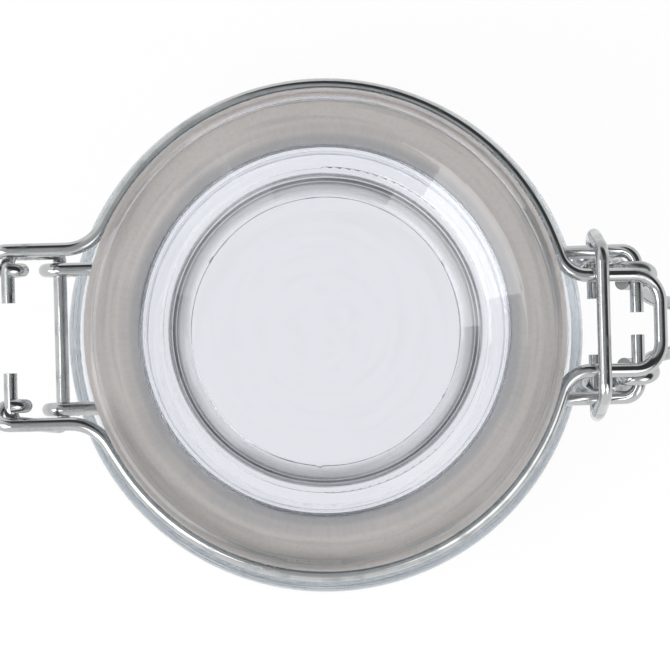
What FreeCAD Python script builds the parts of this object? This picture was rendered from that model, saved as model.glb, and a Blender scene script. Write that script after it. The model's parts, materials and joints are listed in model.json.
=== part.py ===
"""Half-litre clip-top preserving jar: glass jar, glass lid, rubber seal and bent-wire closure.

Frame: +Z up, origin at the centre of the base, +X towards the front closure, millimetres.
The jar, the lid and the seal are revolved bodies. The closure is made of round wire that is
bent in straight runs and tangent arcs: a lid wire, two neck wires, a rear hinge bracket, a
lever on the neck wires' front pins, and a catch on the lever.
"""
import FreeCAD, Part
import math
import os

import Sketcher

DIMENSIONS = {
    # wire
    "wire_dia": 2.8,
    "wire_gap": 0.2,
    "rigid_gap": 0.15,
    # glass jar
    "body_radius": 53.4,
    "wall": 3.6,
    "base_thick": 6.0,
    "foot_inset": 8.0,
    "foot_rise": 7.5,
    "punt_inset": 8.0,
    "punt_depth": 2.2,
    "punt_slope": 2.5,
    "jar_height": 100.0,
    "neck_radius": 45.0,
    "neck_wall": 4.5,
    "lip_tall": 8.0,
    "lip_out": 3.9,
    "lip_slope": 2.5,
    "neck_tall": 9.0,
    "shoulder_tall": 9.0,
    "mouth_depth": 16.0,
    "inner_shoulder": 11.0,
    # rubber seal
    "seal_thick": 3.0,
    "seal_inset": 1.5,
    "seal_gap": 0.2,
    # glass lid
    "lid_over_lip": 0.7,
    "lid_rim_height": 8.5,
    "plug_gap": 1.2,
    "rim_slope_in": 2.0,
    "dish_wall": 8.1,
    "dish_depth": 5.2,
    "step_width": 1.2,
    "step_drop": 0.9,
    "well_wall": 4.4,
    "well_depth": 1.7,
    "lid_floor": 4.2,
    "plug_step": 1.5,
    "plug_taper": 6.5,
    # lid wire
    "ring_out": 0.6,
    "ring_rise": 4.2,
    "ring_bend": 6.0,
    "tongue_half": 9.8,
    "tongue_run": 7.4,
    "tongue_reach": 4.6,
    "tongue_slope_long": 13.0,
    "tongue_drop": 4.5,
    "tongue_corner": 5.7,
    "dip_bend": 9.0,
    "leg_half": 17.9,
    "leg_run": 8.0,
    "leg_bend": 9.0,
    "hinge_out": 14.7,
    "hinge_shift": 4.0,
    # neck wires
    "neck_wire_drop": 4.0,
    "hook_half": 14.4,
    "hook_run": 6.0,
    "arm_half": 15.1,
    "arm_run": 5.2,
    "arm_bend": 4.5,
    # rear hinge bracket
    "bracket_out": 9.6,
    "bracket_half": 18.0,
    "bracket_top_half": 17.3,
    "bracket_pin_end": 7.2,
    "bracket_bend": 3.0,
    "bracket_bar_bend": 2.0,
    # front pivots, lever and catch
    "pivot_out": 10.8,
    "pivot_drop": 5.5,
    "pivot_pin_end": 2.3,
    "crank_x": 8.5,
    "crank_z": 16.2,
    "lever_half": 11.4,
    "coil_step": 3.0,
    "shoulder_out": 1.4,
    "shoulder_drop": 5.0,
    "waist_out": 3.0,
    "waist_half": 6.2,
    "waist_drop": 33.5,
    "tip_out": 13.5,
    "tip_half": 3.9,
    "tip_drop": 44.0,
    "tip_corner": 3.4,
    "catch_bar_in": 7.2,
    "catch_half": 15.0,
    "catch_arm_half": 18.3,
    "catch_flare": 12.0,
    "catch_lift": 0.15,
    "catch_pin_end": 5.8,
}


def make_sheet(doc):
    """Write every driving dimension to the sheet, one aliased cell each."""
    sheet = doc.addObject("Spreadsheet::Sheet", "dims")
    for row, (name, value) in enumerate(DIMENSIONS.items(), start=1):
        sheet.set(f"A{row}", name)
        sheet.set(f"B{row}", str(value))
        sheet.setAlias(f"B{row}", name)
    doc.recompute()
    return sheet


def origin_plane(body, role):
    """Return the body's own origin plane that has this role."""
    return next(item for item in body.Origin.OriginFeatures if item.Role == role)


def profile_sketch(body, name, corners):
    """Draw a closed outline of (radius, height) expressions on the XZ plane, each one bound."""
    sketch = body.newObject("Sketcher::SketchObject", name)
    sketch.AttachmentSupport = [(origin_plane(body, "XZ_Plane"), "")]
    sketch.MapMode = "FlatFace"
    spots = [[float(sketch.evalExpression(part)) for part in corner] for corner in corners]
    count = len(spots)
    for index, (radius, height) in enumerate(spots):
        next_radius, next_height = spots[(index + 1) % count]
        start = FreeCAD.Vector(radius, height, 0)
        end = FreeCAD.Vector(next_radius, next_height, 0)
        sketch.addGeometry(Part.LineSegment(start, end), False)
    for index in range(count):
        sketch.addConstraint(Sketcher.Constraint("Coincident", index, 2, (index + 1) % count, 1))
    for index, (radius_rule, height_rule) in enumerate(corners):
        radius, height = spots[index]
        if radius == 0:
            sketch.addConstraint(Sketcher.Constraint("PointOnObject", index, 1, -2))
        else:
            number = sketch.addConstraint(Sketcher.Constraint("DistanceX", -1, 1, index, 1, radius))
            sketch.setExpression(f"Constraints[{number}]", radius_rule)
        if height == 0:
            sketch.addConstraint(Sketcher.Constraint("PointOnObject", index, 1, -1))
        else:
            number = sketch.addConstraint(Sketcher.Constraint("DistanceY", -1, 1, index, 1, height))
            sketch.setExpression(f"Constraints[{number}]", height_rule)
    return sketch


def circle_edges(shape, radius, height):
    """Name the circular edges of a revolved shape that have this radius and height."""
    names = []
    for number, edge in enumerate(shape.Edges, start=1):
        curve = edge.Curve
        if not isinstance(curve, Part.Circle):
            continue
        if abs(curve.Radius - radius) < 0.01 and abs(curve.Center.z - height) < 0.01:
            names.append(f"Edge{number}")
    return names


def revolved_body(doc, label, corners, fillets):
    """Revolve an outline round Z, then round the named corners.

    fillets maps a corner's number in the outline to the radius of its fillet in millimetres.
    """
    body = doc.addObject("PartDesign::Body", label)
    body.Label = label
    sketch = profile_sketch(body, label + "_profile", corners)
    turn = body.newObject("PartDesign::Revolution", label + "_revolution")
    turn.Profile = sketch
    turn.ReferenceAxis = (sketch, ["V_Axis"])
    turn.Angle = 360
    doc.recompute()
    last = turn
    for corner, rounding in fillets:
        radius, height = (float(sketch.evalExpression(part)) for part in corners[corner])
        edges = circle_edges(last.Shape, radius, height)
        fillet = body.newObject("PartDesign::Fillet", f"{label}_fillet_{corner}")
        fillet.Base = (last, edges)
        fillet.Radius = rounding
        doc.recompute()
        last = fillet
    return body


def build_jar(doc):
    """The glass jar: punted base, straight wall, shoulder, wire groove, lip and mouth."""
    inner = "dims.body_radius - dims.wall"
    foot = "dims.body_radius - dims.foot_inset"
    punt = f"{foot} - dims.punt_inset"
    lip_bottom = "dims.jar_height - dims.lip_tall"
    neck_bottom = f"{lip_bottom} - dims.neck_tall"
    lip = "dims.neck_radius + dims.lip_out"
    mouth = "dims.neck_radius - dims.neck_wall"
    mouth_end = "dims.jar_height - dims.mouth_depth"
    corners = [
        ("0", "dims.punt_depth"),
        (punt, "dims.punt_depth"),
        (f"{punt} + dims.punt_slope", "0"),
        (foot, "0"),
        ("dims.body_radius", "dims.foot_rise"),
        ("dims.body_radius", f"{neck_bottom} - dims.shoulder_tall"),
        ("dims.neck_radius", neck_bottom),
        ("dims.neck_radius", lip_bottom),
        (lip, f"{lip_bottom} + dims.lip_slope"),
        (lip, "dims.jar_height"),
        (mouth, "dims.jar_height"),
        (mouth, mouth_end),
        (inner, f"{mouth_end} - dims.inner_shoulder"),
        (inner, "dims.base_thick"),
        ("0", "dims.base_thick"),
    ]
    fillets = [(2, 1.5), (3, 5.0), (4, 5.0), (5, 8.0), (6, 2.5), (7, 1.4), (8, 1.2), (9, 1.5),
               (10, 1.0), (11, 5.0), (12, 8.0), (13, 7.0)]
    return revolved_body(doc, "jar", corners, fillets)


def build_lid(doc):
    """The pressed-glass lid: rim with a groove for its wire, dished middle and plug below."""
    under = "dims.jar_height + dims.seal_thick"
    top = f"{under} + dims.lid_rim_height"
    rim = "dims.neck_radius + dims.lip_out + dims.lid_over_lip"
    plug = "dims.neck_radius - dims.neck_wall - dims.plug_gap"
    slope_top = f"{plug} + dims.rim_slope_in"
    slope_end = f"{slope_top} - dims.dish_wall"
    step_in = f"{slope_end} - dims.step_width"
    ledge = f"{top} - dims.dish_depth"
    brink = f"{ledge} - dims.step_drop"
    well = f"{brink} - dims.well_depth"
    floor = f"{well} - dims.lid_floor"
    corners = [
        ("0", floor),
        (f"{plug} - dims.plug_taper", floor),
        (plug, f"{under} - dims.plug_step"),
        (plug, under),
        (rim, under),
        (rim, top),
        (slope_top, top),
        (slope_end, ledge),
        (step_in, ledge),
        (f"{step_in} - dims.wire_gap", brink),
        (f"{step_in} - dims.well_wall", well),
        ("0", well),
    ]
    fillets = [(1, 3.0), (2, 1.2), (4, 1.2), (5, 2.3), (6, 2.6), (7, 1.2), (8, 0.35), (9, 0.35), (10, 4.0)]
    body = revolved_body(doc, "lid", corners, fillets)
    cut_wire_groove(doc, body)
    return body


def cut_wire_groove(doc, body):
    """Cut the round groove that the lid wire lies in, clear of the wire by rigid_gap."""
    sketch = body.newObject("Sketcher::SketchObject", "lid_groove_profile")
    sketch.AttachmentSupport = [(origin_plane(body, "XZ_Plane"), "")]
    sketch.MapMode = "FlatFace"
    rules = {
        "DistanceX": "dims.neck_radius + dims.lip_out + dims.lid_over_lip + dims.ring_out",
        "DistanceY": "dims.jar_height + dims.seal_thick + dims.ring_rise",
        "Radius": "dims.wire_dia / 2 + dims.rigid_gap",
    }
    value = {kind: float(sketch.evalExpression(rule)) for kind, rule in rules.items()}
    centre = FreeCAD.Vector(value["DistanceX"], value["DistanceY"], 0)
    sketch.addGeometry(Part.Circle(centre, FreeCAD.Vector(0, 0, 1), value["Radius"]), False)
    constraints = [
        Sketcher.Constraint("DistanceX", -1, 1, 0, 3, value["DistanceX"]),
        Sketcher.Constraint("DistanceY", -1, 1, 0, 3, value["DistanceY"]),
        Sketcher.Constraint("Radius", 0, value["Radius"]),
    ]
    for constraint, rule in zip(constraints, rules.values()):
        number = sketch.addConstraint(constraint)
        sketch.setExpression(f"Constraints[{number}]", rule)
    doc.recompute()
    before = body.Shape.Volume
    groove = body.newObject("PartDesign::Groove", "lid_groove")
    groove.Profile = sketch
    groove.ReferenceAxis = (sketch, ["V_Axis"])
    groove.Angle = 360
    doc.recompute()
    if body.Shape.Volume >= before:
        raise RuntimeError("the wire groove cut nothing from the lid")


def build_seal(doc):
    """The flat rubber ring between the jar's lip and the lid's rim."""
    inner = "dims.neck_radius - dims.neck_wall - dims.plug_gap + dims.seal_gap"
    outer = "dims.neck_radius + dims.lip_out - dims.seal_inset"
    top = "dims.jar_height + dims.seal_thick"
    corners = [(inner, "dims.jar_height"), (outer, "dims.jar_height"), (outer, top), (inner, top)]
    return revolved_body(doc, "seal_ring", corners, [(1, 0.8), (2, 0.8)])


def bend(before, corner, after, radius):
    """Return the arc that rounds a corner, as its start, middle and end points."""
    back = (before - corner).normalize()
    ahead = (after - corner).normalize()
    half_angle = back.getAngle(ahead) / 2
    reach = radius / math.tan(half_angle)
    bisector = (back + ahead).normalize()
    middle = corner + bisector * (radius / math.sin(half_angle) - radius)
    return corner + back * reach, middle, corner + ahead * reach


def wire_path(points, radii):
    """Join points by straight runs and round each inner point by its own radius."""
    edges = []
    cursor = points[0]
    for index in range(1, len(points) - 1):
        start, middle, end = bend(points[index - 1], points[index], points[index + 1], radii[index - 1])
        if (start - cursor).Length > 1e-4:
            edges.append(Part.LineSegment(cursor, start).toShape())
        edges.append(Part.Arc(start, middle, end).toShape())
        cursor = end
    if (points[-1] - cursor).Length > 1e-4:
        edges.append(Part.LineSegment(cursor, points[-1]).toShape())
    return edges


def round_wire(edges, diameter):
    """Sweep a round section along edges that follow one another and compare the volume."""
    path = Part.Wire(Part.__sortEdges__(edges))
    first = path.OrderedEdges[0]
    start = path.OrderedVertexes[0].Point
    at_start = first.valueAt(first.FirstParameter)
    along = first.tangentAt(first.FirstParameter)
    if (at_start - start).Length > 1e-3:
        along = first.tangentAt(first.LastParameter) * -1
    section = Part.Wire(Part.Circle(start, along, diameter / 2).toShape())
    shape = path.makePipeShell([section], True, False)
    if shape.Volume < 0:
        shape.reverse()
    expected = math.pi * diameter ** 2 / 4 * path.Length
    if abs(shape.Volume / expected - 1) > 0.02:
        raise RuntimeError(f"wire volume {shape.Volume:.1f} is not {expected:.1f}")
    return shape


def mirrored(points):
    """Return the same points on the other side of the XZ plane, in reverse order."""
    return [FreeCAD.Vector(p.x, -p.y, p.z) for p in reversed(points)]


def ring_arc(radius, height, first, last):
    """An arc of a level ring between two angles in degrees, counted from +X towards +Y."""
    spots = [math.radians(angle) for angle in (first, (first + last) / 2, last)]
    corners = [FreeCAD.Vector(radius * math.cos(a), radius * math.sin(a), height) for a in spots]
    return Part.Arc(*corners).toShape()


def leave_ring(radius, height, half, run, front):
    """Where a wire leaves a level ring on its tangent, and where that meets the line y = half.

    run is how far outside that line the wire still lies on the ring. The angle comes last, in
    degrees from +X, or from -X at the back.
    """
    turn = math.asin((half + run) / radius)
    side = 1 if front else -1
    start = FreeCAD.Vector(side * radius * math.cos(turn), half + run, height)
    corner = FreeCAD.Vector(start.x + side * run * math.tan(turn), half, height)
    return start, corner, math.degrees(turn)


def places(size):
    """Work out the heights and the distances that more than one wire is built from."""
    eye = size("wire_dia") + size("wire_gap")
    wire_z = size("jar_height") + size("seal_thick") + size("ring_rise")
    neck_wire_z = size("jar_height") - size("lip_tall") - size("neck_wire_drop")
    ring = size("neck_radius") + size("lip_out") + size("lid_over_lip") + size("ring_out")
    pivot_x = size("body_radius") + size("pivot_out")
    pivot_z = size("jar_height") - size("pivot_drop")
    return {
        "eye": eye,
        "wire_z": wire_z,
        "hinge_x": -(ring + size("hinge_out")),
        "hinge_z": wire_z - eye,
        "ring": ring,
        "neck_ring": size("neck_radius") + size("wire_dia") / 2 + size("rigid_gap"),
        "neck_wire_z": neck_wire_z,
        "bracket_x": -(size("neck_radius") + size("bracket_out")),
        "bracket_z": neck_wire_z - eye,
        "pivot_x": pivot_x,
        "pivot_z": pivot_z,
        "crank_x": pivot_x - size("crank_x"),
        "crank_z": pivot_z - size("crank_z"),
        "tongue_x": pivot_x + size("tongue_reach"),
        "bar_x": pivot_x - size("catch_bar_in"),
    }


def add_wire(doc, label, shape):
    """Store a bent wire as a named object of the document."""
    part = doc.addObject("Part::Feature", label)
    part.Label = label
    part.Shape = shape
    part.Placement = FreeCAD.Placement()
    return part


def build_lid_wire(doc, size, at):
    """One wire: rear eye, leg, half round the lid, front tongue, and the same again."""
    height, eye = at["wire_z"], at["eye"]
    back, hinge_z = at["hinge_x"], at["hinge_z"]
    inner = size("leg_half") - size("hinge_shift")
    vector = FreeCAD.Vector

    ring_end, leg_corner, leg_turn = leave_ring(at["ring"], height, size("leg_half"), size("leg_run"), False)
    leg = [
        ring_end,
        leg_corner,
        vector(back - eye, size("leg_half"), height),
        vector(back - eye, inner, hinge_z - eye),
        vector(back + eye, inner, hinge_z - eye),
        vector(back + eye, inner, hinge_z + eye),
        vector(back + size("wire_gap"), inner, hinge_z + eye),
    ]
    leg_bends = [size("leg_bend")] + [eye] * 4

    ring_start, tongue_corner, tongue_turn = leave_ring(at["ring"], height, size("tongue_half"),
                                                        size("tongue_run"), True)
    half_tongue = [
        ring_start,
        tongue_corner,
        vector(at["tongue_x"] - size("tongue_slope_long"), size("tongue_half"), height),
        vector(at["tongue_x"], size("tongue_half"), height - size("tongue_drop")),
    ]
    bends = [size("ring_bend"), size("dip_bend"), size("tongue_corner")]
    tongue = wire_path(half_tongue + mirrored(half_tongue), bends + bends[::-1])

    arcs = [ring_arc(at["ring"], height, side * tongue_turn, side * (180 - leg_turn)) for side in (1, -1)]
    edges = wire_path(mirrored(leg), leg_bends[::-1]) + [arcs[1]] + tongue + [arcs[0]]
    edges += wire_path(leg, leg_bends)
    return add_wire(doc, "lid_wire", round_wire(edges, size("wire_dia")))


def build_neck_wire(doc, size, at, label, side):
    """One half of the neck wire: rear hook on the bracket, half round the neck, front pin."""
    radius, height, eye = at["neck_ring"], at["neck_wire_z"], at["eye"]
    back, low = at["bracket_x"], at["bracket_z"]
    vector = FreeCAD.Vector

    ring_end, hook_corner, hook_turn = leave_ring(radius, height, size("hook_half"), size("hook_run"), False)
    hook = [
        ring_end,
        hook_corner,
        vector(back - eye, size("hook_half"), height),
        vector(back - eye, size("hook_half"), low - eye),
        vector(back + eye, size("hook_half"), low - eye),
        vector(back + eye, size("hook_half"), low),
    ]
    hook_bends = [size("arm_bend")] + [eye] * 3

    ring_start, arm_corner, arm_turn = leave_ring(radius, height, size("arm_half"), size("arm_run"), True)
    arm = [
        ring_start,
        arm_corner,
        vector(at["pivot_x"], size("arm_half"), at["pivot_z"]),
        vector(at["pivot_x"], size("pivot_pin_end"), at["pivot_z"]),
    ]
    edges = wire_path(arm, [size("arm_bend"), size("bracket_bend")])
    edges += [ring_arc(radius, height, arm_turn, 180 - hook_turn)]
    edges += wire_path(hook, hook_bends)
    shape = round_wire(edges, size("wire_dia"))
    if side < 0:
        shape = shape.mirror(vector(0, 0, 0), vector(0, 1, 0))
    return add_wire(doc, label, shape)


def build_hinge_bracket(doc, size, at):
    """The rear wire: two pins through the lid wire's eyes, two arms and a bar at the neck."""
    vector = FreeCAD.Vector
    half = [
        vector(at["hinge_x"], size("bracket_pin_end"), at["hinge_z"]),
        vector(at["hinge_x"], size("bracket_top_half"), at["hinge_z"]),
        vector(at["bracket_x"], size("bracket_half"), at["bracket_z"]),
    ]
    bends = [size("bracket_bend"), size("bracket_bar_bend")]
    edges = wire_path(half + mirrored(half), bends + bends[::-1])
    return add_wire(doc, "hinge_bracket", round_wire(edges, size("wire_dia")))


def build_lever(doc, size, at):
    """The lever: coils on the neck wires' pins, coils for the catch, and a finger loop."""
    eye = at["eye"]
    vector = FreeCAD.Vector
    pivot_x, pivot_z = at["pivot_x"], at["pivot_z"]
    crank_x, crank_z = at["crank_x"], at["crank_z"]
    outer = size("lever_half")
    inner = outer - size("coil_step")
    shoulder = outer + size("coil_step")
    half = [
        vector(pivot_x - eye, inner, pivot_z + size("wire_gap")),
        vector(pivot_x - eye, inner, pivot_z - eye),
        vector(pivot_x + eye, inner, pivot_z - eye),
        vector(pivot_x + eye, outer, pivot_z + eye),
        vector(pivot_x - eye, outer, pivot_z + eye),
        vector(crank_x + eye, outer, crank_z - eye),
        vector(crank_x - eye, outer, crank_z - eye),
        vector(crank_x - eye, shoulder, crank_z + eye),
        vector(crank_x + eye, shoulder, crank_z + eye),
        vector(crank_x + eye + size("shoulder_out"), shoulder, crank_z - eye - size("shoulder_drop")),
        vector(pivot_x + size("waist_out"), size("waist_half"), pivot_z - size("waist_drop")),
        vector(pivot_x + size("tip_out"), size("tip_half"), pivot_z - size("tip_drop")),
    ]
    bends = [eye] * 8 + [2 * eye, 4 * eye, size("tip_corner")]
    edges = wire_path(half + mirrored(half), bends + bends[::-1])
    return add_wire(doc, "lever", round_wire(edges, size("wire_dia")))


def build_catch(doc, size, at):
    """The catch: a bar over the lid wire's tongue, two flared arms and two inward pins."""
    slope = size("tongue_drop") / size("tongue_slope_long")
    past_bend = at["bar_x"] - (at["tongue_x"] - size("tongue_slope_long"))
    over_tongue = at["eye"] + size("catch_lift")
    bar_z = at["wire_z"] - slope * past_bend + over_tongue * math.hypot(1, slope)
    vector = FreeCAD.Vector
    half = [
        vector(at["crank_x"], size("catch_pin_end"), at["crank_z"]),
        vector(at["crank_x"], size("catch_arm_half"), at["crank_z"]),
        vector(at["crank_x"], size("catch_arm_half"), bar_z - size("catch_flare")),
        vector(at["bar_x"], size("catch_half"), bar_z),
    ]
    bends = [size("bracket_bend"), 2 * size("bracket_bend"), size("bracket_bend")]
    edges = wire_path(half + mirrored(half), bends + bends[::-1])
    return add_wire(doc, "catch", round_wire(edges, size("wire_dia")))


def check_objects(doc, parts):
    """Stop if any object failed or any sub-part is empty or not one valid solid."""
    for item in doc.Objects:
        if "Invalid" in item.State or "Error" in item.State:
            raise RuntimeError(f"{item.Label} failed: {item.State}")
    for part in parts:
        shape = part.Shape
        if shape.isNull() or not shape.isValid() or len(shape.Solids) != 1:
            raise RuntimeError(f"{part.Label} is not one valid solid")
        print(f"{part.Label}: {shape.Volume:.0f} mm3, {shape.BoundBox}")


def main():
    """Build the document, check it and write one STEP file for each sub-part."""
    doc = FreeCAD.newDocument("clip_top_jar")
    sheet = make_sheet(doc)

    def size(name):
        return float(sheet.get(name))

    at = places(size)
    print({name: round(value, 4) for name, value in at.items()})
    parts = [
        build_jar(doc),
        build_lid(doc),
        build_seal(doc),
        build_lid_wire(doc, size, at),
        build_neck_wire(doc, size, at, "neck_wire_left", 1),
        build_neck_wire(doc, size, at, "neck_wire_right", -1),
        build_hinge_bracket(doc, size, at),
        build_lever(doc, size, at),
        build_catch(doc, size, at),
    ]
    doc.recompute()
    check_objects(doc, parts)
    os.makedirs("parts", exist_ok=True)
    for part in parts:
        part.Shape.exportStep(f"parts/{part.Label}.step")


main()
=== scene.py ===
"""Studio scene of an empty half-litre clip-top preserving jar with a bent-wire closure.

The glass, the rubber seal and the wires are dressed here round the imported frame. Every place
comes from the frame's own boxes, in metres, with +Z up and +X towards the front closure.
"""

import json
import logging
import math
from dataclasses import dataclass
from enum import Enum

import bpy
from mathutils import Matrix, Vector

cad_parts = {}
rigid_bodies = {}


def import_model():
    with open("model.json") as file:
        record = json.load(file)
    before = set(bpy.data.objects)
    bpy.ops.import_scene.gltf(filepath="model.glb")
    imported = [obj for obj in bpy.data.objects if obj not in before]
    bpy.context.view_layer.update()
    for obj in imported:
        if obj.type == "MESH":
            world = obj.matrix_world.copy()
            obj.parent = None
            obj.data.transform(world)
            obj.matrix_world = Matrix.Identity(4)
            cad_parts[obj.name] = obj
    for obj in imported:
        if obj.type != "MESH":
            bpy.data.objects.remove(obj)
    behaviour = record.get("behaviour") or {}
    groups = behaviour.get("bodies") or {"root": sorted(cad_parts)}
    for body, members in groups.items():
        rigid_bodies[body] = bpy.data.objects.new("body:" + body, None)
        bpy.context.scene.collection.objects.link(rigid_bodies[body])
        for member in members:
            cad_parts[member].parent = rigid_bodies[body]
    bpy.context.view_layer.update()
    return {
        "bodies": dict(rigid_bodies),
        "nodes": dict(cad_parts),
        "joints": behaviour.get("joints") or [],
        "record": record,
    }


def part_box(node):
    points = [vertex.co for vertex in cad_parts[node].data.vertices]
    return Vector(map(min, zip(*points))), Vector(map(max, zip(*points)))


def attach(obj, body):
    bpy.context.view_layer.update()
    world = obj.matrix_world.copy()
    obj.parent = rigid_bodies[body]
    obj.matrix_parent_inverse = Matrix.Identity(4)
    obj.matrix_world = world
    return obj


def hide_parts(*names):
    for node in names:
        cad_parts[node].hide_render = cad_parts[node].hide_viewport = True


LOG = logging.getLogger("clip_top_jar")
MM = 0.001
Point = tuple[float, float, float]
Colour = tuple[float, float, float, float]


class Ray(Enum):
    """Kinds of ray that are shown the white background instead of the dim studio."""

    CAMERA = "Is Camera Ray"
    GLOSSY = "Is Glossy Ray"
    TRANSMISSION = "Is Transmission Ray"


class NodeSheet:
    """A short-hand for placing and joining nodes in one node tree."""

    def __init__(self, tree: bpy.types.NodeTree) -> None:
        """Wrap a node tree.

        Args:
            tree: The tree that gets the nodes.
        """
        self.tree = tree

    def add(self, kind: str, **settings: object) -> bpy.types.Node:
        """Place one node.

        Args:
            kind: The node's type name.
            settings: Plain attributes to set on it.

        Returns:
            The new node.
        """
        node = self.tree.nodes.new(kind)
        for name, value in settings.items():
            setattr(node, name, value)
        return node

    def join(self, start: bpy.types.NodeSocket, end: bpy.types.NodeSocket) -> None:
        """Join an output to an input."""
        self.tree.links.new(start, end)

    def feed(self, node: bpy.types.Node, index: int | str, source: object) -> None:
        """Give an input either a joined output or a plain value.

        Args:
            node: The node that is fed.
            index: The input's number or name.
            source: An output socket, or a number, vector or colour.
        """
        if isinstance(source, bpy.types.NodeSocket):
            self.join(source, node.inputs[index])
        else:
            node.inputs[index].default_value = source

    def math(self, operation: str, *values: object, clamp: bool = False) -> bpy.types.NodeSocket:
        """Place a Math node.

        Args:
            operation: The operation's name.
            values: Its inputs, as sockets or numbers.
            clamp: Whether the result is held between 0 and 1.

        Returns:
            The node's result.
        """
        node = self.add("ShaderNodeMath", operation=operation, use_clamp=clamp)
        for index, value in enumerate(values):
            self.feed(node, index, value)
        return node.outputs[0]

    def span(self, value: object, low: object, high: object, to_low: float = 0.0,
             to_high: float = 1.0) -> bpy.types.NodeSocket:
        """Map a span of values smoothly to another, held at its ends.

        Args:
            value: What is mapped.
            low: Where the span starts.
            high: Where the span ends.
            to_low: The result at the start.
            to_high: The result at the end.

        Returns:
            The mapped value.
        """
        node = self.add("ShaderNodeMapRange", interpolation_type="SMOOTHSTEP")
        for index, source in enumerate((value, low, high, to_low, to_high)):
            self.feed(node, index, source)
        return node.outputs[0]

    def mix_colour(self, factor: object, first: object, second: object) -> bpy.types.NodeSocket:
        """Mix two colours.

        Args:
            factor: 0 for the first and 1 for the second.
            first: The first colour.
            second: The second colour.

        Returns:
            The mixed colour.
        """
        node = self.add("ShaderNodeMix", data_type="RGBA")
        self.feed(node, 0, factor)
        self.feed(node, 6, first)
        self.feed(node, 7, second)
        return node.outputs[2]

    def noise(self, place: bpy.types.NodeSocket, scale: object, detail: float = 2.0) -> bpy.types.NodeSocket:
        """Place a smooth noise.

        Args:
            place: Where it is read.
            scale: Its scale, in turns per metre, as a socket or number.
            detail: How many finer layers it has.

        Returns:
            The noise, round 0.5.
        """
        node = self.add("ShaderNodeTexNoise", noise_dimensions="3D")
        self.join(place, node.inputs["Vector"])
        self.feed(node, "Scale", scale)
        node.inputs["Detail"].default_value = detail
        return node.outputs[0]

    def bump(self, height: bpy.types.NodeSocket, strength: float, reach: float) -> bpy.types.NodeSocket:
        """Place a bump.

        Args:
            height: The relief.
            strength: How much of it shows.
            reach: The relief's depth at a height of 1, in metres.

        Returns:
            The bent normal.
        """
        node = self.add("ShaderNodeBump")
        node.inputs["Strength"].default_value = strength
        node.inputs["Distance"].default_value = reach
        self.join(height, node.inputs["Height"])
        return node.outputs["Normal"]

    def polar(self, position: bpy.types.NodeSocket) -> tuple[bpy.types.NodeSocket, ...]:
        """Split a place into its distance from the Z axis, its angle and its height.

        Args:
            position: The place, in metres.

        Returns:
            The radius, the angle in radians and the height.
        """
        split = self.add("ShaderNodeSeparateXYZ")
        self.join(position, split.inputs[0])
        x, y, z = split.outputs
        radius = self.math("SQRT", self.math("ADD", self.math("MULTIPLY", x, x), self.math("MULTIPLY", y, y)))
        return radius, self.math("ARCTAN2", y, x), z


def new_surface(name: str) -> tuple[bpy.types.Material, NodeSheet, bpy.types.Node]:
    """Start a material with a Principled shader.

    Args:
        name: The material's name.

    Returns:
        The material, its node sheet and its shader.
    """
    material = bpy.data.materials.new(name)
    material.use_nodes = True
    return material, NodeSheet(material.node_tree), material.node_tree.nodes["Principled BSDF"]


class EffectGroup:
    """A shader node group with named inputs and outputs, built once and placed many times."""

    name = "effect"
    inputs: tuple[tuple[str, float], ...] = ()
    outputs: tuple[str, ...] = ()

    def tree(self) -> bpy.types.NodeTree:
        """Find the group's tree, and build it the first time.

        Returns:
            The group's node tree.
        """
        known = bpy.data.node_groups.get(self.name)
        if known is not None:
            return known
        tree = bpy.data.node_groups.new(self.name, "ShaderNodeTree")
        for label, value in self.inputs:
            socket = tree.interface.new_socket(label, in_out="INPUT", socket_type="NodeSocketFloat")
            socket.default_value = value
        for label in self.outputs:
            tree.interface.new_socket(label, in_out="OUTPUT", socket_type="NodeSocketFloat")
        sheet = NodeSheet(tree)
        self.fill(sheet, sheet.add("NodeGroupInput"), sheet.add("NodeGroupOutput"))
        return tree

    def fill(self, sheet: NodeSheet, given: bpy.types.Node, result: bpy.types.Node) -> None:
        """Build the nodes inside the group.

        Args:
            sheet: The group's tree.
            given: The node that holds the group's inputs.
            result: The node that takes the group's outputs.
        """
        raise NotImplementedError

    def place(self, sheet: NodeSheet, **values: float) -> bpy.types.Node:
        """Place the group in a material.

        Args:
            sheet: The material's tree.
            values: The group's inputs, with underscores for spaces.

        Returns:
            The group node.
        """
        node = sheet.add("ShaderNodeGroup", node_tree=self.tree())
        for label, value in values.items():
            node.inputs[label.replace("_", " ")].default_value = value
        return node


class PaintedGlassShade(Enum):
    """Where painted shade darkens a piece's glass. Each value is an output of PressedRipple."""

    WELL = "Band"
    SHOULDER = "Shoulder"


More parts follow.
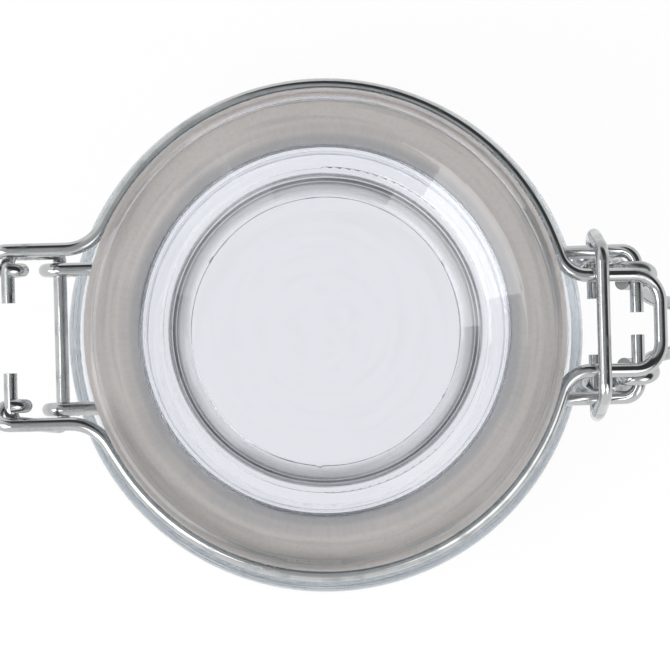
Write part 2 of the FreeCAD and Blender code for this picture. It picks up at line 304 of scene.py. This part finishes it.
class PressedRipple(EffectGroup):
    """The unevenness of pressed and blown glass, and masks of painted shade and of painted rim reflections.
    """

    name = "pressed_ripple"
    inputs = (("Arc Depth", 0.5), ("Wave Depth", 0.5), ("Speck Depth", 0.3), ("Seam Depth", 0.0),
              ("Seam Angle", -0.33), ("Seam Start", 39.0 * MM), ("Seam End", 46.0 * MM),
              ("Band Start", 27.2 * MM), ("Band End", 32.0 * MM), ("Reflection Start", 42.5 * MM),
              ("Edge Line", 48.2 * MM), ("Shoulder Low", 68.0 * MM), ("Shoulder High", 83.5 * MM))
    outputs = ("Height", "Band", "Streaks", "Shoulder")

    arc_scale = 520.0
    arc_spread = 1.3
    wave_scale = 60.0
    speck_scale = 420.0
    speck_rim = (0.10, 0.22)
    patch_scale = 55.0
    patch_rim = (0.56, 0.66)
    seam_rim = (0.10 * MM, 0.35 * MM)
    # Painted shade round the lid's well: a fade, a darker part and an outer edge. The gleam is a painted
    # highlight line just inside that edge.
    fade_length = 3.0 * MM
    fade_share = 0.55
    deep_inset = (1.6 * MM, 0.8 * MM)
    deep_share = 0.45
    band_edge = 0.4 * MM
    gleam_inset = 0.6 * MM
    gleam_rim = (0.04 * MM, 0.16 * MM)
    gleam_share = 0.35
    # Painted rim reflections spread out from their start radius. A wavering dark line is painted shade along
    # the lid's edge.
    reflection_rise = 1.2 * MM
    reflection_least = 0.10
    waver_scale = 180.0
    waver_reach = 0.9 * MM
    line_rim = (0.05 * MM, 0.20 * MM)
    # Painted shade on the jar's shoulder.
    shoulder_rise = 5.0 * MM
    shoulder_fall = 1.0 * MM

    def fill(self, sheet: NodeSheet, given: bpy.types.Node, result: bpy.types.Node) -> None:
        """Join the relief and the three masks to the group's outputs.

        Args:
            sheet: The group's tree.
            given: The node that holds the group's inputs.
            result: The node that takes the group's outputs.
        """
        place = sheet.add("ShaderNodeTexCoord").outputs["Object"]
        radius, angle, height = sheet.polar(place)
        arcs = self.turned_arcs(sheet, radius, angle, height)
        relief = (("Arc Depth", arcs), ("Wave Depth", sheet.noise(place, self.wave_scale)),
                  ("Speck Depth", self.specks(sheet, place)),
                  ("Seam Depth", self.seam(sheet, given, radius, angle)))
        total = None
        for label, part in relief:
            weighed = sheet.math("MULTIPLY", part, given.outputs[label])
            total = sheet.math("ADD", total, weighed) if total else weighed
        sheet.join(total, result.inputs["Height"])
        sheet.join(self.well_painted_shade(sheet, given, radius, arcs), result.inputs["Band"])
        sheet.join(self.painted_rim_reflections(sheet, given, place, radius, arcs), result.inputs["Streaks"])
        sheet.join(self.shoulder(sheet, given, height, arcs), result.inputs["Shoulder"])

    def turned_arcs(self, sheet: NodeSheet, radius: bpy.types.NodeSocket, angle: bpy.types.NodeSocket,
                    height: bpy.types.NodeSocket) -> bpy.types.NodeSocket:
        """Draw fine arcs that follow the turn.

        Args:
            sheet: The group's tree.
            radius: The distance from the Z axis.
            angle: The angle round it.
            height: The height.

        Returns:
            The arcs, round 0.5.
        """
        across = sheet.math("MULTIPLY", sheet.math("COSINE", angle), self.arc_spread)
        along = sheet.math("MULTIPLY", sheet.math("SINE", angle), self.arc_spread)
        turned = sheet.add("ShaderNodeCombineXYZ")
        sheet.feed(turned, 0, sheet.math("MULTIPLY", radius, self.arc_scale))
        sheet.feed(turned, 1, across)
        sheet.feed(turned, 2, sheet.math("ADD", sheet.math("MULTIPLY", height, self.arc_scale), along))
        return sheet.noise(turned.outputs[0], 1.0, 3.0)

    def specks(self, sheet: NodeSheet, place: bpy.types.NodeSocket) -> bpy.types.NodeSocket:
        """Scatter seed specks in patches.

        Args:
            sheet: The group's tree.
            place: Where they are read.

        Returns:
            1 on a speck.
        """
        cells = sheet.add("ShaderNodeTexVoronoi", feature="F1")
        sheet.join(place, cells.inputs["Vector"])
        cells.inputs["Scale"].default_value = self.speck_scale
        dots = sheet.span(cells.outputs["Distance"], *self.speck_rim, 1.0, 0.0)
        return sheet.math("MULTIPLY", dots, sheet.span(sheet.noise(place, self.patch_scale), *self.patch_rim))

    def seam(self, sheet: NodeSheet, given: bpy.types.Node, radius: bpy.types.NodeSocket,
             angle: bpy.types.NodeSocket) -> bpy.types.NodeSocket:
        """Draw one short mould seam that points at the Z axis.

        Args:
            sheet: The group's tree.
            given: The node that holds the group's inputs.
            radius: The distance from the Z axis.
            angle: The angle round it.

        Returns:
            1 on the seam.
        """
        turn = sheet.math("SUBTRACT", angle, given.outputs["Seam Angle"])
        off_seam = sheet.math("ABSOLUTE", sheet.math("MULTIPLY", sheet.math("SINE", turn), radius))
        seam = sheet.span(off_seam, *self.seam_rim, 1.0, 0.0)
        limits = (("GREATER_THAN", sheet.math("COSINE", turn), 0.0),
                  ("GREATER_THAN", radius, given.outputs["Seam Start"]),
                  ("LESS_THAN", radius, given.outputs["Seam End"]))
        for operation, value, bound in limits:
            seam = sheet.math("MULTIPLY", seam, sheet.math(operation, value, bound))
        return seam

    def well_painted_shade(self, sheet: NodeSheet, given: bpy.types.Node, radius: bpy.types.NodeSocket,
                  arcs: bpy.types.NodeSocket) -> bpy.types.NodeSocket:
        """Mask the painted shade round the lid's well, with a painted highlight line inside its outer edge.

        Args:
            sheet: The group's tree.
            given: The node that holds the group's inputs.
            radius: The distance from the Z axis.
            arcs: The turned arcs.

        Returns:
            1 where the painted shade is darkest.
        """
        start, end = given.outputs["Band Start"], given.outputs["Band End"]
        fade = sheet.span(radius, start, sheet.math("ADD", start, self.fade_length), 0.0, self.fade_share)
        deep_from, deep_to = (sheet.math("SUBTRACT", end, inset) for inset in self.deep_inset)
        band = sheet.math("ADD", fade, sheet.span(radius, deep_from, deep_to, 0.0, self.deep_share))
        off_gleam = sheet.math("SUBTRACT", radius, sheet.math("SUBTRACT", end, self.gleam_inset))
        off_gleam = sheet.math("ABSOLUTE", off_gleam)
        cuts = (sheet.span(radius, end, sheet.math("ADD", end, self.band_edge), 1.0, 0.0),
                sheet.span(off_gleam, *self.gleam_rim, self.gleam_share, 1.0),
                sheet.span(arcs, 0.30, 0.55, 0.70, 1.0))
        for share in cuts:
            band = sheet.math("MULTIPLY", band, share)
        return band

    def painted_rim_reflections(self, sheet: NodeSheet, given: bpy.types.Node, place: bpy.types.NodeSocket,
                radius: bpy.types.NodeSocket, arcs: bpy.types.NodeSocket) -> bpy.types.NodeSocket:
        """Mask the painted reflection streaks near the lid's rim and the wavering painted shade line along
        its edge.

        Args:
            sheet: The group's tree.
            given: The node that holds the group's inputs.
            place: Where the waver is read.
            radius: The distance from the Z axis.
            arcs: The turned arcs.

        Returns:
            1 on a painted reflection streak and on the painted shade line.
        """
        start = given.outputs["Reflection Start"]
        spread = sheet.span(radius, start, sheet.math("ADD", start, self.reflection_rise), self.reflection_least, 1.0)
        painted_rim_reflections = sheet.math("MULTIPLY", sheet.span(arcs, 0.48, 0.66), spread)
        waver = sheet.math("MULTIPLY", sheet.noise(place, self.waver_scale, 3.0), self.waver_reach)
        off_edge = sheet.math("SUBTRACT", sheet.math("ADD", radius, waver), given.outputs["Edge Line"])
        line = sheet.span(sheet.math("ABSOLUTE", off_edge), *self.line_rim, 1.0, 0.0)
        return sheet.math("MAXIMUM", painted_rim_reflections, line)

    def shoulder(self, sheet: NodeSheet, given: bpy.types.Node, height: bpy.types.NodeSocket,
                 arcs: bpy.types.NodeSocket) -> bpy.types.NodeSocket:
        """Mask the painted shade on the jar's shoulder.

        Args:
            sheet: The group's tree.
            given: The node that holds the group's inputs.
            height: The height.
            arcs: The turned arcs.

        Returns:
            1 where the painted shade is darkest.
        """
        low, high = given.outputs["Shoulder Low"], given.outputs["Shoulder High"]
        rise = sheet.span(height, low, sheet.math("ADD", low, self.shoulder_rise))
        fall = sheet.span(height, high, sheet.math("ADD", high, self.shoulder_fall), 1.0, 0.0)
        mask = sheet.math("MULTIPLY", rise, fall)
        return sheet.math("MULTIPLY", mask, sheet.span(arcs, 0.30, 0.60, 0.45, 1.0))


class DrawnWire(EffectGroup):
    """The marks on bright drawn wire: fine die lines, handling scuffs and dull patches."""

    name = "drawn_wire"
    inputs = (("Line Scale", 3000.0), ("Scuff Scale", 220.0))
    outputs = ("Height", "Dullness")

    line_share = 0.35
    dull_from_to = (0.45, 0.75)

    def fill(self, sheet: NodeSheet, given: bpy.types.Node, result: bpy.types.Node) -> None:
        """Add die lines and scuffs.

        Args:
            sheet: The group's tree.
            given: The node that holds the group's inputs.
            result: The node that takes the group's outputs.
        """
        place = sheet.add("ShaderNodeTexCoord").outputs["Object"]
        lines = sheet.noise(place, given.outputs["Line Scale"])
        scuffs = sheet.noise(place, given.outputs["Scuff Scale"], 4.0)
        height = sheet.math("ADD", sheet.math("MULTIPLY", lines, self.line_share), scuffs)
        sheet.join(height, result.inputs["Height"])
        sheet.join(sheet.span(scuffs, *self.dull_from_to), result.inputs["Dullness"])


@dataclass(frozen=True)
class GlassFinish:
    """Clear soda glass with the ripples of its mould, and painted shade and painted rim reflections in its
    colour.
    """

    name: str
    tint: Colour
    painted_shade: PaintedGlassShade
    painted_shade_tint: Colour
    rim_reflection_tint: Colour
    depth_tint: Colour = (0.38, 0.46, 0.51, 1.0)
    depth_strength: float = 8.5
    index: float = 1.5
    roughness: float = 0.0
    arc_depth: float = 0.25
    wave_depth: float = 0.6
    speck_depth: float = 0.06
    seam_depth: float = 0.0
    bump: float = 0.35
    bump_reach: float = 0.1 * MM

    def material(self) -> bpy.types.Material:
        """Build the glass.

        Returns:
            The material.
        """
        material, sheet, shader = new_surface(self.name)
        shader.inputs["Transmission Weight"].default_value = 1.0
        shader.inputs["Metallic"].default_value = 0.0
        shader.inputs["Roughness"].default_value = self.roughness
        shader.inputs["IOR"].default_value = self.index
        ripple = PressedRipple().place(sheet, Arc_Depth=self.arc_depth, Wave_Depth=self.wave_depth,
                                       Speck_Depth=self.speck_depth, Seam_Depth=self.seam_depth)
        # Painted shade: the base colour darkens by the chosen mask, standing in for the shade that refraction
        # gives round the lid's well and on the jar's shoulder.
        tone = sheet.mix_colour(ripple.outputs[self.painted_shade.value], self.tint, self.painted_shade_tint)
        # Painted reflection on the lid's rim, with a painted shade line along its edge.
        tone = sheet.mix_colour(ripple.outputs["Streaks"], tone, self.rim_reflection_tint)
        sheet.join(tone, shader.inputs["Base Color"])
        depth = sheet.add("ShaderNodeVolumeAbsorption")
        depth.inputs["Color"].default_value = self.depth_tint
        depth.inputs["Density"].default_value = self.depth_strength
        sheet.join(depth.outputs[0], material.node_tree.nodes["Material Output"].inputs["Volume"])
        sheet.join(sheet.bump(ripple.outputs["Height"], self.bump, self.bump_reach), shader.inputs["Normal"])
        return material


@dataclass(frozen=True)
class SteelFinish:
    """Bright drawn steel wire."""

    name: str
    colour: Colour = (0.52, 0.53, 0.53, 1.0)
    dull_colour: Colour = (0.36, 0.38, 0.38, 1.0)
    smooth: float = 0.13
    dull: float = 0.32
    bump: float = 0.12
    bump_reach: float = 0.05 * MM

    def material(self) -> bpy.types.Material:
        """Build the steel.

        Returns:
            The material.
        """
        material, sheet, shader = new_surface(self.name)
        shader.inputs["Metallic"].default_value = 1.0
        marks = DrawnWire().place(sheet)
        dullness = marks.outputs["Dullness"]
        sheet.join(sheet.mix_colour(dullness, self.colour, self.dull_colour), shader.inputs["Base Color"])
        sheet.join(sheet.span(dullness, 0.0, 1.0, self.smooth, self.dull), shader.inputs["Roughness"])
        sheet.join(sheet.bump(marks.outputs["Height"], self.bump, self.bump_reach), shader.inputs["Normal"])
        return material


@dataclass(frozen=True)
class RubberFinish:
    """Pale natural rubber, darker and greyer on its inner band."""

    name: str
    outer: Colour = (0.96, 0.88, 0.80, 1.0)
    inner: Colour = (0.68, 0.66, 0.64, 1.0)
    band_start: float = 41.5 * MM
    band_end: float = 44.0 * MM
    wander_scale: float = 60.0
    wander_reach: float = 1.5 * MM
    grain_scale: float = 1400.0
    grain_share: float = 0.12
    grain_tone: Colour = (0.6, 0.6, 0.6, 1.0)
    roughness: float = 0.75
    bump: float = 0.2
    bump_reach: float = 0.1 * MM

    def material(self) -> bpy.types.Material:
        """Build the rubber.

        Returns:
            The material.
        """
        material, sheet, shader = new_surface(self.name)
        shader.inputs["Roughness"].default_value = self.roughness
        place = sheet.add("ShaderNodeTexCoord").outputs["Object"]
        radius, _, _ = sheet.polar(place)
        wander = sheet.math("MULTIPLY", sheet.noise(place, self.wander_scale), self.wander_reach)
        shifted = sheet.math("ADD", radius, wander)
        tone = sheet.mix_colour(sheet.span(shifted, self.band_start, self.band_end), self.inner, self.outer)
        grain = sheet.noise(place, self.grain_scale)
        darker = sheet.add("ShaderNodeMix", data_type="RGBA", blend_type="MULTIPLY")
        sheet.feed(darker, 0, sheet.span(grain, 0.4, 0.7, 0.0, self.grain_share))
        sheet.feed(darker, 6, tone)
        sheet.feed(darker, 7, self.grain_tone)
        sheet.join(darker.outputs[2], shader.inputs["Base Color"])
        sheet.join(sheet.bump(grain, self.bump, self.bump_reach), shader.inputs["Normal"])
        return material


def turned_mesh(name: str, profile: list[tuple[float, float]], steps: int) -> bpy.types.Object:
    """Turn a closed outline round Z.

    Args:
        name: The new object's name.
        profile: Radius and height of each corner, in metres, counter-clockwise.
        steps: How many slices the turn is made of.

    Returns:
        The new object, smooth-shaded, at the origin.
    """
    points: list[Point] = []
    for step in range(steps):
        angle = math.tau * step / steps
        cosine, sine = math.cos(angle), math.sin(angle)
        points += [(radius * cosine, radius * sine, height) for radius, height in profile]
    count = len(profile)
    faces = []
    for step in range(steps):
        here, there = step * count, (step + 1) % steps * count
        for corner in range(count):
            after = (corner + 1) % count
            faces.append((here + corner, there + corner, there + after, here + after))
    mesh = bpy.data.meshes.new(name)
    mesh.from_pydata(points, [], faces)
    mesh.validate()
    for polygon in mesh.polygons:
        polygon.use_smooth = True
    piece = bpy.data.objects.new(name, mesh)
    bpy.context.collection.objects.link(piece)
    return piece


@dataclass
class Glassware:
    """The jar and its lid."""

    # Painted shade tints: (0.68, 0.71, 0.74) on the jar's shoulder and (0.10, 0.10, 0.11) round the lid's
    # well. The lid's rim tint (0.72, 0.76, 0.79) is a painted reflection.
    jar_finish: GlassFinish = GlassFinish("jar_glass_clear", (0.955, 0.96, 0.985, 1.0), PaintedGlassShade.SHOULDER,
                                          (0.68, 0.71, 0.74, 1.0), rim_reflection_tint=(0.955, 0.96, 0.985, 1.0),
                                          wave_depth=0.8)
    lid_finish: GlassFinish = GlassFinish("lid_glass_pressed", (0.96, 0.96, 0.99, 1.0), PaintedGlassShade.WELL,
                                          (0.10, 0.10, 0.11, 1.0), rim_reflection_tint=(0.72, 0.76, 0.79, 1.0),
                                          arc_depth=0.5, seam_depth=0.6)

    def dress(self, frame: dict) -> None:
        """Give the two glass nodes their materials.

        Args:
            frame: The loaded frame.
        """
        for node, finish in (("jar", self.jar_finish), ("lid", self.lid_finish)):
            dress_node(frame, node, finish.material())


@dataclass
class Seal:
    """The rubber ring, pressed a hair into the glass above and below it."""

    finish: RubberFinish = RubberFinish("seal_rubber_pale")
    width: float = 7.9 * MM
    sink: float = 0.04 * MM
    edge: float = 0.6 * MM
    edge_steps: int = 5
    turns: int = 192

    def build(self) -> bpy.types.Object:
        """Build the ring.

        Returns:
            The seal.
        """
        low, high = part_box("seal_ring")
        outer = high[0]
        inner = outer - self.width
        bottom, top = low[2] - self.sink, high[2] + self.sink
        corners = [(inner, bottom), (outer, bottom), (outer, top), (inner, top)]
        profile: list[tuple[float, float]] = []
        for index, (radius, height) in enumerate(corners):
            centre = (radius + (self.edge if radius == inner else -self.edge),
                      height + (self.edge if height == bottom else -self.edge))
            start = math.pi + index * math.pi / 2
            for step in range(self.edge_steps + 1):
                angle = start + math.pi / 2 * step / self.edge_steps
                profile.append((centre[0] + self.edge * math.cos(angle),
                                centre[1] + self.edge * math.sin(angle)))
        piece = turned_mesh("rubber_seal", profile, self.turns)
        piece.data.materials.append(self.finish.material())
        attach(piece, "jar_body")
        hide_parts("seal_ring")
        LOG.info("rubber_seal: %d faces", len(piece.data.polygons))
        return piece


@dataclass
class WireWork:
    """The bent wires of the hinge and the closure."""

    finish: SteelFinish = SteelFinish("wire_steel_bright")
    nodes: tuple[str, ...] = ("lid_wire", "neck_wire_left", "neck_wire_right", "hinge_bracket",
                              "lever", "catch")

    def dress(self, frame: dict) -> None:
        """Give every wire its material.

        Args:
            frame: The loaded frame.
        """
        steel = self.finish.material()
        for node in self.nodes:
            dress_node(frame, node, steel)


def dress_node(frame: dict, node: str, material: bpy.types.Material) -> None:
    """Put a material in every slot of a CAD node.

    Args:
        frame: The loaded frame.
        node: The node's name.
        material: What it is dressed in.
    """
    piece = frame["nodes"][node]
    for slot in piece.material_slots:
        slot.material = material
    if not piece.material_slots:
        piece.data.materials.append(material)
    LOG.info("%s: %s", node, material.name)


@dataclass(frozen=True)
class Lamp:
    """One soft square lamp that faces the object."""

    name: str
    place: Point
    power: float
    size: float = 0.9
    target: Point = (0.0, 0.0, 50.0 * MM)

    def hang(self) -> None:
        """Hang the lamp."""
        data = bpy.data.lights.new(self.name, "AREA")
        data.size = self.size
        data.energy = self.power
        lamp = bpy.data.objects.new(self.name, data)
        bpy.context.collection.objects.link(lamp)
        lamp.location = self.place
        lamp.rotation_euler = (Vector(self.target) - Vector(self.place)).to_track_quat("-Z", "Y").to_euler()


@dataclass
class Studio:
    """The floor, the surroundings, the lamps and the camera."""

    lamps: tuple[Lamp, ...] = (Lamp("key_light", (-0.75, -0.42, 0.95), 9.0),
                               Lamp("fill_light", (0.7, -0.6, 1.1), 4.0))
    floor_size: float = 8.0
    floor_colour: Colour = (0.86, 0.86, 0.87, 1.0)
    floor_roughness: float = 0.9
    floor_white: float = 0.93
    sensor: float = 36.0
    far: float = 20.0
    distance: float = 2.6
    frame_width: float = 137.3 * MM
    aim: Point = (1.9 * MM, -1.1 * MM, 107.0 * MM)
    lean_x: float = 0.0
    lean_y: float = -1.6
    roll: float = -1.5
    dark_side: Colour = (0.05, 0.05, 0.055, 1.0)
    ceiling: Colour = (0.42, 0.44, 0.47, 1.0)
    roof: Colour = (0.52, 0.53, 0.54, 1.0)
    dark_way: tuple[float, float] = (0.77, 0.64)
    dark_spread: tuple[float, float] = (0.12, 0.42)
    dark_height: tuple[float, float] = (0.10, 0.32)
    ceiling_height: tuple[float, float] = (0.02, 0.30)
    roof_height: tuple[float, float] = (0.45, 0.95)
    plain_level: float = 0.9
    glass_crossings: int = 40

    def build(self) -> None:
        """Set the whole studio up."""
        self.set_view()
        self.build_floor()
        self.build_world()
        for lamp in self.lamps:
            lamp.hang()
        self.place_camera()

    def set_view(self) -> None:
        """Show colours as they are, and let light cross all the walls of the glass."""
        scene = bpy.context.scene
        scene.view_settings.view_transform = "Standard"
        for kind in ("max_bounces", "glossy_bounces", "transmission_bounces"):
            setattr(scene.cycles, kind, self.glass_crossings)

    @staticmethod
    def seen(sheet: NodeSheet) -> bpy.types.NodeSocket:
        """Tell the rays that should meet the white background from the rest.

        Args:
            sheet: The tree that needs the mask.

        Returns:
            1 for camera, glossy and transmitted rays, otherwise 0.
        """
        path = sheet.add("ShaderNodeLightPath")
        total = path.outputs[Ray.CAMERA.value]
        for ray in (Ray.GLOSSY, Ray.TRANSMISSION):
            total = sheet.math("MAXIMUM", total, path.outputs[ray.value])
        return total

    def build_floor(self) -> None:
        """Lay a plain pale floor that reads as white."""
        bpy.ops.mesh.primitive_plane_add(size=self.floor_size)
        floor = bpy.context.object
        floor.name = "studio_floor"
        material, sheet, shader = new_surface("studio_floor_pale")
        shader.inputs["Base Color"].default_value = self.floor_colour
        shader.inputs["Roughness"].default_value = self.floor_roughness
        glow = sheet.add("ShaderNodeEmission")
        glow.inputs["Strength"].default_value = 1.0
        mix = sheet.add("ShaderNodeMixShader")
        sheet.join(sheet.math("MULTIPLY", self.seen(sheet), self.floor_white), mix.inputs[0])
        sheet.join(shader.outputs[0], mix.inputs[1])
        sheet.join(glow.outputs[0], mix.inputs[2])
        sheet.join(mix.outputs[0], material.node_tree.nodes["Material Output"].inputs["Surface"])
        floor.data.materials.append(material)

    def build_world(self) -> None:
        """Surround the object with white, with dark tones above it for what shines or lets light through."""
        world = bpy.data.worlds.new("studio_world")
        bpy.context.scene.world = world
        world.use_nodes = True
        sheet = NodeSheet(world.node_tree)
        background = world.node_tree.nodes["Background"]
        place = sheet.add("ShaderNodeTexCoord").outputs["Generated"]
        split = sheet.add("ShaderNodeSeparateXYZ")
        sheet.join(place, split.inputs[0])
        x, y, z = split.outputs
        along_x, along_y = self.dark_way
        side = sheet.math("ADD", sheet.math("MULTIPLY", x, along_x), sheet.math("MULTIPLY", y, along_y))
        dark = sheet.math("MULTIPLY", sheet.span(side, *self.dark_spread), sheet.span(z, *self.dark_height))
        path = sheet.add("ShaderNodeLightPath")
        bent = path.outputs[Ray.TRANSMISSION.value]
        mirrored = sheet.math("SUBTRACT", path.outputs[Ray.GLOSSY.value], bent, clamp=True)
        shine = sheet.math("MULTIPLY", dark, mirrored)
        through = sheet.math("MULTIPLY", sheet.span(z, *self.ceiling_height), bent)
        roof = sheet.math("MULTIPLY", sheet.span(z, *self.roof_height), mirrored)
        tone = sheet.mix_colour(roof, (1.0, 1.0, 1.0, 1.0), self.roof)
        tone = sheet.mix_colour(shine, tone, self.dark_side)
        tone = sheet.mix_colour(through, tone, self.ceiling)
        sheet.join(tone, background.inputs["Color"])
        plain = sheet.math("SUBTRACT", 1.0, self.seen(sheet))
        sheet.join(sheet.span(plain, 0.0, 1.0, 1.0, self.plain_level), background.inputs["Strength"])

    def place_camera(self) -> None:
        """Put the camera high above the lid, leaning a little."""
        data = bpy.data.cameras.new("top_camera")
        data.sensor_width = self.sensor
        data.lens = data.sensor_width * self.distance / self.frame_width
        data.clip_end = self.far
        camera = bpy.data.objects.new("top_camera", data)
        bpy.context.collection.objects.link(camera)
        turn = Matrix.Identity(4)
        for degrees, axis in ((-self.lean_y, "X"), (self.lean_x, "Y"), (self.roll, "Z")):
            turn = turn @ Matrix.Rotation(math.radians(degrees), 4, axis)
        back = Matrix.Translation((0, 0, self.distance))
        camera.matrix_world = Matrix.Translation(Vector(self.aim)) @ turn @ back
        bpy.context.scene.camera = camera


def main() -> None:
    """Build the studio and dress the jar."""
    logging.basicConfig(level=logging.INFO, format="%(name)s: %(message)s")
    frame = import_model()
    Studio().build()
    Glassware().dress(frame)
    Seal().build()
    WireWork().dress(frame)


if __name__ == "__main__":
    main()
